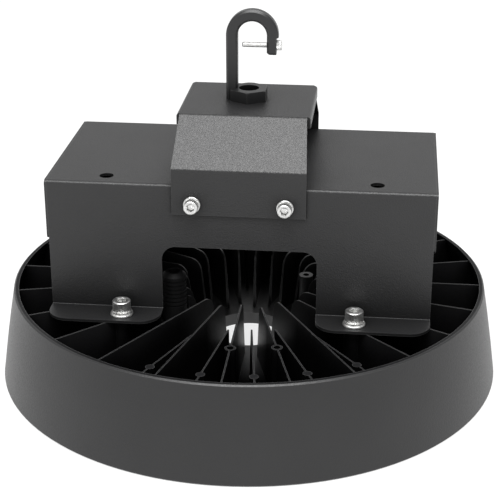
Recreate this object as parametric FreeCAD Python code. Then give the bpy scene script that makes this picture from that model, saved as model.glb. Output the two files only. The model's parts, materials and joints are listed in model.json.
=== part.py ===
import FreeCAD, Part
import math
import os

from FreeCAD import Vector

# Round high bay light: finned cast heat sink, folded driver box, saddle and cast hook.
# Millimetres. Origin at the centre of the ring's bottom edge, +Z up, X along the driver box,
# and the side with the two holes in the box's top faces -Y.

THREAD_PLAY = 0.05
HOLE_PLAY = 0.5
WASHER_PLAY = 0.2
PAST = 1.0
TOUCH = 0.01

# Fasteners: thread diameter, head diameter, head height, key size
M8 = (8.0, 13.0, 8.0, 6.0)
M6 = (6.0, 10.0, 6.0, 5.0)
M4 = (4.0, 7.0, 3.8, 3.0)
M3 = (3.0, 5.6, 2.2, 2.0)
M4_FLAT = (4.0, 7.0, 1.5, 2.5)
TERMINAL_SCREW = (3.0, 4.6, 2.0, 2.0)
SOCKET_FLOOR = 0.45
FLAT_SOCKET_DEPTH = 0.9
WASHER8_R = 8.0
WASHER8_T = 1.6
LOCK_WASHER_R = 7.0
LOCK_WASHER_T = 1.2
WASHER6_R = 6.0
WASHER6_T = 1.6
NUT6_AF = 10.0
NUT6_H = 5.0
FOOT_SCREW_LEN = 22.0
SADDLE_SCREW_LEN = 12.0
TRAY_SCREW_LEN = 6.0
DRIVER_SCREW_LEN = 6.0
EARTH_SCREW_LEN = 5.0
TERMINAL_SCREW_LEN = 2.5
BOARD_SCREW_LEN = 5.5
LENS_SCREW_LEN = 9.0

# Cast heat sink: wall, floor and sealing lands
RIM_R = 175.0
RIM_WALL = 3.6
RIM_CHAMFER = 1.0
RIM_LIP = 1.0
RIM_Z = 68.2
BASE_FLARE = 11.2
BASE_CHAMFER = 1.2
BASE_WALL = 3.8
WALL_BULGE = 0.4
FLOOR_TOP = 23.3
FLOOR_T = 6.0
FOOT_WALL = 4.6
WALL_FOOT_CHAMFER = 4.0
LAND_DEPTH = 3.2
LAND_WALL = 6.0
LAND_WIDTH = 21.4
VENT_R = 28.2
VENT_LAND_WIDTH = 26.8

# Fins
FIN_TOP_T = 1.1
FIN_ROOT_T = 2.6
FIN_COUNT = 24
FIN_CORNER = 9.0
FIN_LEAN = 6.3
FIN_ROOT = 1.0
EVEN_FIN_R = 46.5
ODD_FIN_R = 51.5
MID_FIN_R = 87.5
MID_FIN_LEAN = 11.5
MID_ANGLES = (-82.5, 97.5)
FAN_TURN = -0.3
SLANT_START_R = 93.5
PAD_IN = 14.0
PAD_RADIUS = 3.1
PAD_ANGLE = 12.5
PAD_IN_ANGLE = 10.0
PAD_SPLAY = 0.3
BRANCH_START_R = 108.0

# Eyes and posts among the fins
EYE_R = 120.8
EYE_RADIUS = 3.9
EYE_HOLE = 2.5
EYE_DEPTH = 16.0
FOOT_POST_RADIUS = 6.8
FOOT_POST_DEPTH = 22.0
STUD_R = 43.0
STUD_ANGLE = 7.0
STUD_RADIUS = 5.2
STUD_HOLE = 2.3

# Lead gland on the heat sink's floor
GLAND_R = 69.5
GLAND_ANGLE = -135.0
GLAND_SEAT_R = 11.5
GLAND_SEAT_H = 22.7
GLAND_POCKET_R = 12.6
GLAND_STEM = 6.0
GLAND_AF = 20.0
GLAND_HEX_H = 7.0
GLAND_HEX_TURN = 15.0
GLAND_STEM_LEN = 12.0
GLAND_NECK_R = 7.6
GLAND_NECK_H = 20.0
GLAND_PASSAGE = 4.0
GLAND_CAP_WALL = 1.25
GLAND_CAP_H = 38.0
GLAND_CAP_GAP = 1.5
GLAND_CAP_MOUTH = 4.2
GLAND_CAP_TOP_T = 4.0
GLAND_CAP_DOME = 2.6
GLAND_SEAL_GAP = 0.6
GLAND_SEAL_BORE = 2.6
GLAND_RIB_COUNT = 7
GLAND_RIB_PITCH = 3.1
GLAND_RIB_DEPTH = 0.8
GLAND_RIB_T = 1.8
GLAND_RIB_TOP = 3.2

# Driver box
SHEET = 2.0
BEND = 0.4
BOX_Y = 67.7
BOX_H = 95.6
FOOT_LEN = 23.8
FOOT_CORNER = 15.0
WINDOW_X = 54.5
WINDOW_GAP = 0.6
WINDOW_CORNER = 10.0
TOP_HOLE_X = 94.3
TOP_HOLE_IN = 14.1
TOP_HOLE_R = 5.0
FOOT_SCREW_X = 81.7
FOOT_SCREW_OUT = 12.7
TAB_IN = 17.7
TAB_H = 13.0
TAB_CORNER = 4.0

# Driver tray
TRAY_T = 1.5
TRAY_BEND = 0.4
TRAY_DROP = 45.5
TRAY_GAP = 0.2
TRAY_LIP = 12.0
TRAY_FLOOR_IN = 4.0
TRAY_BELT_IN = 3.0
TRAY_PLATE_CORNER = 3.0
TRAY_SCREW_Y = 36.0
TRAY_SCREW_DROP = 8.0

# Saddle
SADDLE_KNEE_H = 11.9
SADDLE_RISE = 30.4
SADDLE_TOP_Y = 39.65
SADDLE_FOOT_DROP = 20.9
SADDLE_X = 46.4
SADDLE_SLOPE_IN = 2.1
SADDLE_LIP_OUT = 0.3
SADDLE_LIP_H = 8.2
SADDLE_LIP_IN = 1.65
SADDLE_SCREW_IN = 14.3
SADDLE_SCREW_DROP = 13.1

# Hook
HEX_AF = 25.0
HEX_H = 8.3
HEX_TURN = 30.0
HEX_CROWN_IN = 1.2
HOOK_BORE = 7.25
STEM_WALL = 2.75
STEM_LEN = 14.0
STEM_PLAY = 0.3
BAR = 8.2
BAR_CHAMFER = 1.5
BORE_TO_BAR = 0.55
LOOP_R = 14.4
LOOP_H = 46.7
TIP_DROP = 13.3
TIP_FLAT = 2.6
TIP_FLAT_GAP = 1.2
TIP_CHAMFER = 1.3
PIN_DROP = 6.9
PIN_GAP = 3.1
LOCK_AF = 30.0
LOCK_H = 8.0

# Driver and wiring inside the box
DRIVER_LEN = 186.0
DRIVER_END_GAP = 22.3
DRIVER_Y = 35.0
DRIVER_H = 30.0
DRIVER_ROUND = 3.0
DRIVER_GROOVE_COUNT = 7
DRIVER_GROOVE_PITCH = 8.0
DRIVER_GROOVE_W = 3.0
DRIVER_GROOVE_T = 1.5
DRIVER_CAP = 11.0
DRIVER_CAP_OUT = 0.8
DRIVER_EAR = 12.0
DRIVER_EAR_T = 2.5
DRIVER_EAR_Y = 16.0
DRIVER_EAR_EDGE = 8.0
BLOCK_GAP = 24.0
BLOCK_LEN = 24.0
BLOCK_END_GAP = 12.3
BLOCK_EDGE = 7.0
BLOCK_H = 17.0
BLOCK_STEP = 7.0
BLOCK_STEP_H = 5.0
BLOCK_POLE_COUNT = 3
BLOCK_PITCH = 10.0
BLOCK_SCREW_IN = 9.0
BLOCK_WELL_R = 2.4
BLOCK_WELL_H = 6.0
BLOCK_PORT_R = 2.0
BLOCK_PORT_UP = 6.0
BLOCK_PORT_LEN = 8.0
LEAD_D = 6.4
LEAD_IN = 3.5
MAINS_HOLE = 8.0
LEAD_HOLE = 6.5
GROMMET_LIP = 2.2
GROMMET_LIP_T = 1.8
GROMMET_WALL = 3.3
EARTH_IN = 22.3
EARTH_Y = -44.0

# Light engine below the floor
BOARD_T = 1.6
BOARD_IN_GAP = 2.0
BOARD_OUT_GAP = 2.5
BOARD_LEAD_R = 4.0
CHIP = 5.0
CHIP_H = 0.7
CHIP_RING_COUNT = 4
CHIP_FIRST_COUNT = 12
CHIP_MORE_COUNT = 4
CHIP_IN_EDGE = 13.0
CHIP_OUT_EDGE = 18.5
CHIP_CLEAR = 8.0
BOARD_SCREW_COUNT = 4
BOARD_HOLE_H = 6.1
GASKET_T = 1.5
GASKET_W = 5.0
OUT_GASKET_GAP = 5.5
IN_GASKET_GAP = 4.5
LENS_T = 3.0
LENS_RIM_GAP = 2.4
LENS_VENT_GAP = 10.3
LENS_VALLEY = 5.0
LENS_SLOPE = 4.5
LENS_RIDGE_H = 3.2
LENS_SCREW_IN = 5.0
OUT_SCREW_COUNT = 8
IN_SCREW_COUNT = 4
LENS_HOLE_H = 7.5

# Heights and places that follow from the sizes above; the box is as long as what it holds
BASE_R = RIM_R + BASE_FLARE
FLOOR_LOW = FLOOR_TOP - FLOOR_T
LAND_Z = FLOOR_LOW - LAND_DEPTH
FIN_LOW = FLOOR_TOP - FIN_ROOT
GLAND_SEAT_Z = FLOOR_TOP + GLAND_SEAT_H
RIM_MID = RIM_R - RIM_WALL / 2
FOOT_TOP = RIM_Z + SHEET
FOOT_Y = BOX_Y + FOOT_LEN
FOOT_SCREW_Y = BOX_Y + FOOT_SCREW_OUT
BOX_TOP = RIM_Z + BOX_H
TRAY_Z = BOX_TOP - TRAY_DROP
TRAY_FLOOR = TRAY_Z + TRAY_T
WINDOW_Z = TRAY_Z - WINDOW_GAP
SADDLE_Y = BOX_Y + SHEET
SADDLE_KNEE_Z = BOX_TOP + SADDLE_KNEE_H
SADDLE_TOP_Z = SADDLE_KNEE_Z + SADDLE_RISE
SADDLE_SCREW_X = SADDLE_X - SADDLE_SCREW_IN
SADDLE_SCREW_Z = BOX_TOP - SADDLE_SCREW_DROP
STEM_R = HOOK_BORE + STEM_WALL
SHANK_X = -(HOOK_BORE + BORE_TO_BAR + BAR / 2)
TIP_X = SHANK_X + 2 * LOOP_R
TIP_FLAT_X = TIP_X + TIP_FLAT
LOOP_Z = SADDLE_TOP_Z + LOOP_H
TIP_Z = LOOP_Z - TIP_DROP
PIN_Z = LOOP_Z - PIN_DROP
BOX_X = (DRIVER_END_GAP + DRIVER_LEN + BLOCK_GAP + BLOCK_LEN + BLOCK_END_GAP) / 2
DRIVER_X = DRIVER_END_GAP - BOX_X
DRIVER_END = DRIVER_X + DRIVER_LEN
BLOCK_X = DRIVER_END + BLOCK_GAP
EARTH_X = BOX_X - EARTH_IN
BOARD_LOW = FLOOR_LOW - BOARD_T
LENS_TOP = LAND_Z - GASKET_T
LENS_LOW = LENS_TOP - LENS_T


def wall_r(z):
    """Outer radius of the casting's wall at a height."""
    share = (z - BASE_CHAMFER) / (RIM_Z - BASE_CHAMFER)
    return BASE_R + (RIM_R - BASE_R) * share + 4 * WALL_BULGE * share * (1 - share)


WALL_FOOT_R = wall_r(FLOOR_TOP) - FOOT_WALL
LAND_OUT_R = wall_r(LAND_Z) - LAND_WALL
LAND_IN_R = LAND_OUT_R - LAND_WIDTH
VENT_LAND_R = VENT_R + VENT_LAND_WIDTH
BOARD_IN_R = VENT_LAND_R + BOARD_IN_GAP
BOARD_OUT_R = LAND_IN_R - BOARD_OUT_GAP
LENS_IN_R = VENT_R + LENS_VENT_GAP
LENS_OUT_R = LAND_OUT_R - LENS_RIM_GAP
OUT_SCREW_R = LENS_OUT_R - LENS_SCREW_IN
IN_SCREW_R = LENS_IN_R + LENS_SCREW_IN
CHIP_FIRST_R = BOARD_IN_R + CHIP_IN_EDGE
CHIP_STEP = (BOARD_OUT_R - CHIP_OUT_EDGE - CHIP_FIRST_R) / (CHIP_RING_COUNT - 1)
BOARD_SCREW_R = CHIP_FIRST_R + CHIP_STEP * 1.5


def polar(radius, angle):
    turn = math.radians(angle)
    return radius * math.cos(turn), radius * math.sin(turn)


def outline(corners, place):
    """Closed wire of straight runs with a round of its own at each corner (u, v, radius)."""
    runs = []
    count = len(corners)
    for index in range(count):
        u, v, radius = corners[index]
        back = corners[index - 1]
        ahead = corners[(index + 1) % count]
        if radius <= 0:
            runs.append(((u, v), None, (u, v)))
            continue
        a = (back[0] - u, back[1] - v)
        b = (ahead[0] - u, ahead[1] - v)
        la = math.hypot(*a)
        lb = math.hypot(*b)
        a = (a[0] / la, a[1] / la)
        b = (b[0] / lb, b[1] / lb)
        half = math.acos(max(-1.0, min(1.0, a[0] * b[0] + a[1] * b[1]))) / 2
        reach = radius / math.tan(half)
        bis = (a[0] + b[0], a[1] + b[1])
        lbis = math.hypot(*bis)
        depth = radius / math.sin(half) - radius
        mid = (u + bis[0] / lbis * depth, v + bis[1] / lbis * depth)
        start = (u + a[0] * reach, v + a[1] * reach)
        end = (u + b[0] * reach, v + b[1] * reach)
        runs.append((start, mid, end))
    edges = []
    for index in range(count):
        start, mid, end = runs[index]
        if mid is not None:
            edges.append(Part.Arc(place(*start), place(*mid), place(*end)).toShape())
        following = runs[(index + 1) % count][0]
        if math.dist(end, following) > 1e-6:
            edges.append(Part.makeLine(place(*end), place(*following)))
    return Part.Wire(edges)


def at_x(x):
    return lambda u, v: Vector(x, u, v)


def at_y(y):
    return lambda u, v: Vector(u, y, v)


def at_z(z):
    return lambda u, v: Vector(u, v, z)


def slab(corners, place, direction):
    return Part.Face(outline(corners, place)).extrude(direction)


def turned(corners):
    """Solid of revolution about Z from a profile in (radius, height)."""
    face = Part.Face(outline(corners, at_y(0)))
    return face.revolve(Vector(0, 0, 0), Vector(0, 0, 1), 360)


def block(x0, x1, y0, y1, z0, z1):
    return Part.makeBox(x1 - x0, y1 - y0, z1 - z0, Vector(x0, y0, z0))


def rod(radius, x, y, z0, z1):
    return Part.makeCylinder(radius, z1 - z0, Vector(x, y, z0))


def tube(outer, inner, z0, z1):
    return rod(outer, 0, 0, z0, z1).cut(rod(inner, 0, 0, z0 - PAST, z1 + PAST))


def prism(sides, across_flats, z0, z1, turn=0.0):
    reach = across_flats / 2 / math.cos(math.pi / sides)
    corners = []
    for index in range(sides):
        x, y = polar(reach, turn + 360.0 * index / sides)
        corners.append((x, y, 0))
    return slab(corners, at_z(z0), Vector(0, 0, z1 - z0))


def moved(shape, x, y, z, axis=None, angle=0.0):
    copy = shape.copy()
    if axis is not None:
        copy.rotate(Vector(0, 0, 0), axis, angle)
    copy.translate(Vector(x, y, z))
    return copy


def along_x(shape, x, y, z, side=1):
    """A shape made along Z, laid along X and facing the given side."""
    return moved(shape, x, y, z, Vector(0, 1, 0), 90 * side)


def along_y(shape, x, y, z, side=1):
    """A shape made along Z, laid along Y and facing the given side."""
    return moved(shape, x, y, z, Vector(1, 0, 0), -90 * side)


def facing_down(shape):
    return moved(shape, 0, 0, 0, Vector(1, 0, 0), 180)


def ring_places(radius, count):
    """Evenly spaced places on a circle, half a step away from +X."""
    return [polar(radius, 360.0 * (index + 0.5) / count) for index in range(count)]


def both(value):
    return (-value, value)


def sheet_section(path, thickness, bend):
    """Corners of a folded sheet whose outer face follows the path and whose metal lies on its right."""
    normals = []
    for (u0, v0), (u1, v1) in zip(path, path[1:]):
        length = math.hypot(u1 - u0, v1 - v0)
        normals.append(((v1 - v0) / length, (u0 - u1) / length))
    outer = []
    inner = []
    last = len(path) - 1
    for index, (u, v) in enumerate(path):
        if index in (0, last):
            nu, nv = normals[0] if index == 0 else normals[-1]
            outer.append((u, v, 0))
            inner.append((u + nu * thickness, v + nv * thickness, 0))
            continue
        n0 = normals[index - 1]
        n1 = normals[index]
        share = thickness / (1 + n0[0] * n1[0] + n0[1] * n1[1])
        right_turn = n0[0] * n1[1] - n0[1] * n1[0] < 0
        r_out = bend + thickness if right_turn else bend
        r_in = bend if right_turn else bend + thickness
        outer.append((u, v, r_out))
        inner.append((u + (n0[0] + n1[0]) * share, v + (n0[1] + n1[1]) * share, r_in))
    return outer + inner[::-1]


def plain_screw(size, length):
    """Screw with its seat at z = 0, a round head above and the shank below."""
    thread, head, height, key = size
    return rod(head / 2, 0, 0, 0, height).fuse(rod(thread / 2, 0, 0, -length, 0))


def socket_screw(size, length):
    """Socket cap screw with its seat at z = 0, the head above and the shank below."""
    height = size[2]
    key = size[3]
    return plain_screw(size, length).cut(prism(6, key, height * SOCKET_FLOOR, height + PAST))


def flat_screw(size, length):
    """Countersunk screw whose flat head ends at z = 0 and whose cone and shank lie below."""
    thread, head, height, key = size
    body = turned([(0, -length, 0), (thread / 2, -length, 0), (thread / 2, -height, 0),
                   (head / 2, 0, 0), (0, 0, 0)])
    return body.cut(prism(6, key, -FLAT_SOCKET_DEPTH, PAST))


def flat_screw_hole(size, length):
    """Waste of a countersunk hole, a little wider than the screw all along."""
    thread, head, height, key = size
    bore = thread / 2 + THREAD_PLAY
    mouth = head / 2 + THREAD_PLAY
    return turned([(0, -length, 0), (bore, -length, 0), (bore, -height, 0), (mouth, 0, 0),
                   (mouth, PAST, 0), (0, PAST, 0)])


def thread_hole(size, x, y, z0, z1):
    return rod(size[0] / 2 + THREAD_PLAY, x, y, z0, z1)


def nut(across_flats, bore, height):
    return prism(6, across_flats, 0, height).cut(rod(bore, 0, 0, -PAST, height + PAST))


def sink_shell():
    """Outer wall, floor, sealing lands and vent collar in one turned section."""
    middle = (RIM_Z + BASE_CHAMFER) / 2
    top = RIM_Z + RIM_LIP
    shoulder = top - RIM_CHAMFER
    wall = Part.Arc(Vector(wall_r(shoulder), 0, shoulder), Vector(wall_r(middle), 0, middle),
                    Vector(BASE_R, 0, BASE_CHAMFER))
    points = [(BASE_R, BASE_CHAMFER), (BASE_R - BASE_CHAMFER, 0), (BASE_R - BASE_WALL, 0),
              (LAND_OUT_R, LAND_Z), (LAND_IN_R, LAND_Z),
              (LAND_IN_R, FLOOR_LOW), (VENT_LAND_R, FLOOR_LOW), (VENT_LAND_R, LAND_Z),
              (VENT_R, LAND_Z), (VENT_R, FLOOR_TOP), (WALL_FOOT_R - WALL_FOOT_CHAMFER, FLOOR_TOP),
              (WALL_FOOT_R, FLOOR_TOP + WALL_FOOT_CHAMFER), (RIM_R - RIM_WALL, top),
              (RIM_R - RIM_CHAMFER, top), (wall_r(shoulder), shoulder)]
    edges = [wall.toShape()]
    for (r0, z0), (r1, z1) in zip(points, points[1:]):
        edges.append(Part.makeLine(Vector(r0, 0, z0), Vector(r1, 0, z1)))
    face = Part.Face(Part.Wire(edges))
    return face.revolve(Vector(0, 0, 0), Vector(0, 0, 1), 360)


def draft_plate(length):
    """Upright plate along +X whose sides lean together towards the top, as a mould needs."""
    root = FIN_ROOT_T / 2
    top = FIN_TOP_T / 2
    section = [(-root, FIN_LOW, 0), (-top, RIM_Z, 0), (top, RIM_Z, 0), (root, FIN_LOW, 0)]
    return slab(section, at_x(0), Vector(length, 0, 0))


def fin(top_r, lean):
    """Radial plate along +X from the vent to the wall, its inner top corner rounded."""
    corners = [(top_r - lean, FIN_LOW, 0), (top_r, RIM_Z, FIN_CORNER), (RIM_MID, RIM_Z, 0),
               (wall_r(FIN_LOW) - FOOT_WALL / 2, FIN_LOW, 0)]
    profile = slab(corners, at_y(-FIN_ROOT_T / 2), Vector(0, FIN_ROOT_T, 0))
    return profile.common(draft_plate(BASE_R))


def web(start, end):
    """Upright plate between two plan points, as high as the fins."""
    plate = draft_plate(math.dist(start, end))
    angle = math.degrees(math.atan2(end[1] - start[1], end[0] - start[0]))
    return moved(plate, start[0], start[1], 0, Vector(0, 0, 1), angle)


def post(radius, place):
    return rod(radius, *place, FIN_LOW, RIM_Z)


def main_fins():
    even = fin(EVEN_FIN_R, FIN_LEAN)
    odd = fin(ODD_FIN_R, FIN_LEAN)
    pieces = []
    for index in range(FIN_COUNT):
        plate = even if index % 2 == 0 else odd
        pieces.append(moved(plate, 0, 0, 0, Vector(0, 0, 1), 360.0 * index / FIN_COUNT))
    return pieces


def padded_web(start, angle, splay):
    """Short fin from a start point to a round pad and on to the wall."""
    pad = polar(RIM_R - PAD_IN, angle)
    wall = polar(RIM_MID, angle + splay)
    return [web(start, pad), web(pad, wall), post(PAD_RADIUS, pad)]


def short_fins():
    """On two opposite sides: a centre fin, two slanting fins and two branches, all with round pads."""
    fin_step = 360.0 / FIN_COUNT
    pieces = []
    for mid_angle in MID_ANGLES:
        axis = mid_angle + FAN_TURN
        pieces.append(moved(fin(MID_FIN_R, MID_FIN_LEAN), 0, 0, 0, Vector(0, 0, 1), axis))
        pieces.append(post(PAD_RADIUS, polar(RIM_R - PAD_IN, axis)))
        for side in (-1, 1):
            near = polar(SLANT_START_R, axis + side * PAD_IN_ANGLE)
            pieces += padded_web(near, axis + side * PAD_ANGLE, side * PAD_SPLAY)
            branch = polar(BRANCH_START_R, axis + side * fin_step * 1.5)
            pieces += padded_web(branch, axis + side * 2 * PAD_ANGLE, side * PAD_SPLAY)
    return pieces


def eye_places():
    """Screw eyes on the two main fins beside each centre fin."""
    half_step = 180.0 / FIN_COUNT
    return [polar(EYE_R, axis + half_step * side) for axis in MID_ANGLES for side in (-1, 1)]


def foot_places():
    return [(x, y) for x in both(FOOT_SCREW_X) for y in both(FOOT_SCREW_Y)]


def sink_posts():
    pieces = [post(STUD_RADIUS, polar(STUD_R, STUD_ANGLE))]
    pieces += [post(EYE_RADIUS, place) for place in eye_places()]
    pieces += [post(FOOT_POST_RADIUS, place) for place in foot_places()]
    return pieces


def lens_screw_places():
    return ring_places(OUT_SCREW_R, OUT_SCREW_COUNT) + ring_places(IN_SCREW_R, IN_SCREW_COUNT)


def sink_holes():
    holes = [rod(STUD_HOLE, *polar(STUD_R, STUD_ANGLE), RIM_Z - EYE_DEPTH, RIM_Z + PAST)]
    for place in eye_places():
        holes.append(rod(EYE_HOLE, *place, RIM_Z - EYE_DEPTH, RIM_Z + PAST))
    for place in foot_places():
        holes.append(thread_hole(M8, *place, RIM_Z - FOOT_POST_DEPTH, RIM_Z + PAST))
    for place in lens_screw_places():
        holes.append(thread_hole(M4, *place, LAND_Z - PAST, LAND_Z + LENS_HOLE_H))
    for place in ring_places(BOARD_SCREW_R, BOARD_SCREW_COUNT):
        holes.append(thread_hole(M3, *place, FLOOR_LOW - PAST, BOARD_LOW + BOARD_HOLE_H))
    return holes


def heat_sink():
    gx, gy = polar(GLAND_R, GLAND_ANGLE)
    pocket = rod(GLAND_POCKET_R, gx, gy, GLAND_SEAT_Z, RIM_Z + PAST)
    solid = sink_shell().fuse(main_fins() + short_fins() + sink_posts())
    solid = solid.fuse(rod(GLAND_SEAT_R, gx, gy, FIN_LOW, GLAND_SEAT_Z + PAST))
    bore = rod(GLAND_STEM + THREAD_PLAY, gx, gy, FLOOR_LOW - PAST, GLAND_SEAT_Z + 2 * PAST)
    return solid.cut([pocket, bore] + sink_holes()).removeSplitter()


def foot_corner_cuts():
    """Waste outside the round corner of each foot."""
    cuts = []
    reach = FOOT_CORNER
    for sx in (-1, 1):
        for sy in (-1, 1):
            for edge_x, way in ((BOX_X, 1), (WINDOW_X, -1)):
                cx = sx * (edge_x - way * reach)
                cy = sy * (FOOT_Y - reach)
                x0, x1 = sorted((cx, cx + sx * way * (reach + PAST)))
                y0, y1 = sorted((cy, cy + sy * (reach + PAST)))
                corner = block(x0, x1, y0, y1, RIM_Z - PAST, FOOT_TOP + PAST)
                cuts.append(corner.cut(rod(reach, cx, cy, RIM_Z - 2 * PAST, FOOT_TOP + 2 * PAST)))
    return cuts


def window_cuts():
    """Windows with round upper corners through the two long sides and the feet below them."""
    low = RIM_Z - PAST
    window = [(-WINDOW_X, low, 0), (-WINDOW_X, WINDOW_Z, WINDOW_CORNER),
              (WINDOW_X, WINDOW_Z, WINDOW_CORNER), (WINDOW_X, low, 0)]
    depth = FOOT_LEN + SHEET + BEND + 2 * PAST
    cuts = []
    for y in (-FOOT_Y - PAST, FOOT_Y + PAST - depth):
        cuts.append(slab(window, at_y(y), Vector(0, depth, 0)))
    return cuts


def saddle_screw_cuts():
    """Waste of the saddle's screw holes, right across the box."""
    reach = SADDLE_Y + PAST
    across = rod(M6[0] / 2 + HOLE_PLAY / 2, 0, 0, -reach, reach)
    return [along_y(across, x, 0, SADDLE_SCREW_Z) for x in both(SADDLE_SCREW_X)]


def cover_tabs():
    """Tabs folded down from the top at both ends, which take the tray's screws."""
    low = BOX_TOP - SHEET - TAB_H
    reach = BOX_Y - TAB_IN
    tabs = []
    for side in (-1, 1):
        x0, x1 = sorted((side * (BOX_X - SHEET), side * BOX_X))
        tab = [(-reach, BOX_TOP - SHEET / 2, 0), (-reach, low, TAB_CORNER), (reach, low, TAB_CORNER),
               (reach, BOX_TOP - SHEET / 2, 0)]
        tabs.append(slab(tab, at_x(x0), Vector(x1 - x0, 0, 0)))
    return tabs


def driver_cover():
    path = [(-FOOT_Y, FOOT_TOP), (-BOX_Y, FOOT_TOP), (-BOX_Y, BOX_TOP),
            (BOX_Y, BOX_TOP), (BOX_Y, FOOT_TOP), (FOOT_Y, FOOT_TOP)]
    section = sheet_section(path, SHEET, BEND)
    body = slab(section, at_x(-BOX_X), Vector(2 * BOX_X, 0, 0)).fuse(cover_tabs())
    under = BOX_TOP - SHEET - PAST
    cuts = foot_corner_cuts() + window_cuts() + saddle_screw_cuts()
    for x, y in foot_places():
        cuts.append(rod(M8[0] / 2 + HOLE_PLAY, x, y, RIM_Z - PAST, FOOT_TOP + PAST))
    for x in both(TOP_HOLE_X):
        cuts.append(rod(TOP_HOLE_R, x, TOP_HOLE_IN - BOX_Y, under, BOX_TOP + PAST))
    cuts.append(rod(MAINS_HOLE, 0, 0, under, BOX_TOP + PAST))
    for y in both(TRAY_SCREW_Y):
        along = thread_hole(M4, 0, 0, -BOX_X - PAST, BOX_X + PAST)
        cuts.append(along_x(along, 0, y, BOX_TOP - TRAY_SCREW_DROP))
    return body.cut(cuts).removeSplitter()


def tray_sheets():
    """Floor between upturned sides, and a belt that rises at both ends to plates over the cover's ends."""
    out_x = BOX_X + TRAY_T
    lip_y = BOX_Y - SHEET - TRAY_GAP
    floor_x = BOX_X - TRAY_FLOOR_IN
    belt_y = lip_y - TRAY_BELT_IN
    plate_low = TRAY_Z + TRAY_T + TRAY_BEND
    floor = sheet_section([(lip_y, TRAY_Z + TRAY_LIP), (lip_y, TRAY_Z), (-lip_y, TRAY_Z),
                           (-lip_y, TRAY_Z + TRAY_LIP)], TRAY_T, TRAY_BEND)
    belt = sheet_section([(out_x, BOX_TOP), (out_x, TRAY_Z), (-out_x, TRAY_Z), (-out_x, BOX_TOP)],
                         TRAY_T, TRAY_BEND)
    plate = [(-BOX_Y, plate_low, TRAY_PLATE_CORNER), (-BOX_Y, BOX_TOP, TRAY_PLATE_CORNER),
             (BOX_Y, BOX_TOP, TRAY_PLATE_CORNER), (BOX_Y, plate_low, TRAY_PLATE_CORNER)]
    sheets = [slab(belt, at_y(-belt_y), Vector(0, 2 * belt_y, 0))]
    for x in (-out_x, BOX_X):
        sheets.append(slab(plate, at_x(x), Vector(TRAY_T, 0, 0)))
    return slab(floor, at_x(-floor_x), Vector(2 * floor_x, 0, 0)).fuse(sheets)


def tray_screw_places():
    """Outer face of the end plate, y, and the side that each tray screw faces."""
    return [(side * (BOX_X + TRAY_T), y, side) for side in (-1, 1) for y in both(TRAY_SCREW_Y)]


def driver_tray():
    gx, gy = polar(GLAND_R, GLAND_ANGLE)
    low = TRAY_Z - PAST
    high = TRAY_FLOOR + PAST
    cuts = [rod(LEAD_HOLE, gx, gy, low, high), thread_hole(M4, EARTH_X, EARTH_Y, low, high)]
    cuts += [thread_hole(M4, x, y, low, high) for x, y in driver_screw_places()]
    hole = flat_screw_hole(M4_FLAT, TRAY_T + PAST)
    for x, y, side in tray_screw_places():
        cuts.append(along_x(hole, x, y, BOX_TOP - TRAY_SCREW_DROP, side))
    return tray_sheets().cut(cuts).removeSplitter()


def saddle_slope_cuts():
    """Waste that narrows the saddle's two slopes towards its top."""
    reach = SADDLE_Y + PAST
    cuts = []
    for side in (-1, 1):
        out = side * (SADDLE_X + PAST)
        edge = side * (SADDLE_X - SADDLE_SLOPE_IN)
        slope = [(out, SADDLE_KNEE_Z, 0), (side * SADDLE_X, SADDLE_KNEE_Z, 0),
                 (edge, SADDLE_TOP_Z - SHEET, 0), (edge, SADDLE_TOP_Z + PAST, 0),
                 (out, SADDLE_TOP_Z + PAST, 0)]
        cuts.append(slab(slope, at_y(-reach), Vector(0, 2 * reach, 0)))
    return cuts


def saddle():
    foot_z = BOX_TOP - SADDLE_FOOT_DROP
    path = [(-SADDLE_Y, foot_z), (-SADDLE_Y, SADDLE_KNEE_Z), (-SADDLE_TOP_Y, SADDLE_TOP_Z),
            (SADDLE_TOP_Y, SADDLE_TOP_Z), (SADDLE_Y, SADDLE_KNEE_Z), (SADDLE_Y, foot_z)]
    section = sheet_section(path, SHEET, BEND)
    body = slab(section, at_x(-SADDLE_X), Vector(2 * SADDLE_X, 0, 0))
    body = body.cut(saddle_slope_cuts() + saddle_screw_cuts())
    lip_x = SADDLE_X + SADDLE_LIP_OUT
    lip_y = SADDLE_TOP_Y - SADDLE_LIP_IN
    lip_z = SADDLE_TOP_Z - SADDLE_LIP_H
    lips = sheet_section([(-lip_x, lip_z), (-lip_x, SADDLE_TOP_Z), (lip_x, SADDLE_TOP_Z), (lip_x, lip_z)],
                         SHEET, BEND)
    body = body.fuse(slab(lips, at_y(-lip_y), Vector(0, 2 * lip_y, 0)))
    stem_hole = rod(STEM_R + STEM_PLAY, 0, 0, SADDLE_TOP_Z - SHEET - PAST, SADDLE_TOP_Z + PAST)
    return body.cut(stem_hole).removeSplitter()


def bar_ring():
    """Section of the hook's bar: a square with chamfered edges."""
    half = BAR / 2
    near = half - BAR_CHAMFER
    return [(-near, -half, 0), (near, -half, 0), (half, -near, 0), (half, near, 0),
            (near, half, 0), (-near, half, 0), (-half, near, 0), (-half, -near, 0)]


def hook_bar():
    """Shank, bow and chamfered tip."""
    ring = bar_ring()
    shank = slab([(SHANK_X + u, v, 0) for u, v, r in ring], at_z(SADDLE_TOP_Z),
                 Vector(0, 0, LOOP_Z - SADDLE_TOP_Z))
    start = outline(ring, lambda u, v: Vector(SHANK_X + u, v, LOOP_Z))
    bow = Part.Face(start).revolve(Vector(SHANK_X + LOOP_R, 0, LOOP_Z), Vector(0, 1, 0), 180)
    tip = slab([(TIP_X + u, v, 0) for u, v, r in ring], at_z(TIP_Z), Vector(0, 0, LOOP_Z - TIP_Z))
    rim = [edge for edge in tip.Edges if edge.BoundBox.ZMax < TIP_Z + TOUCH]
    return [shank, bow, tip.makeChamfer(TIP_CHAMFER, rim)]


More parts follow.
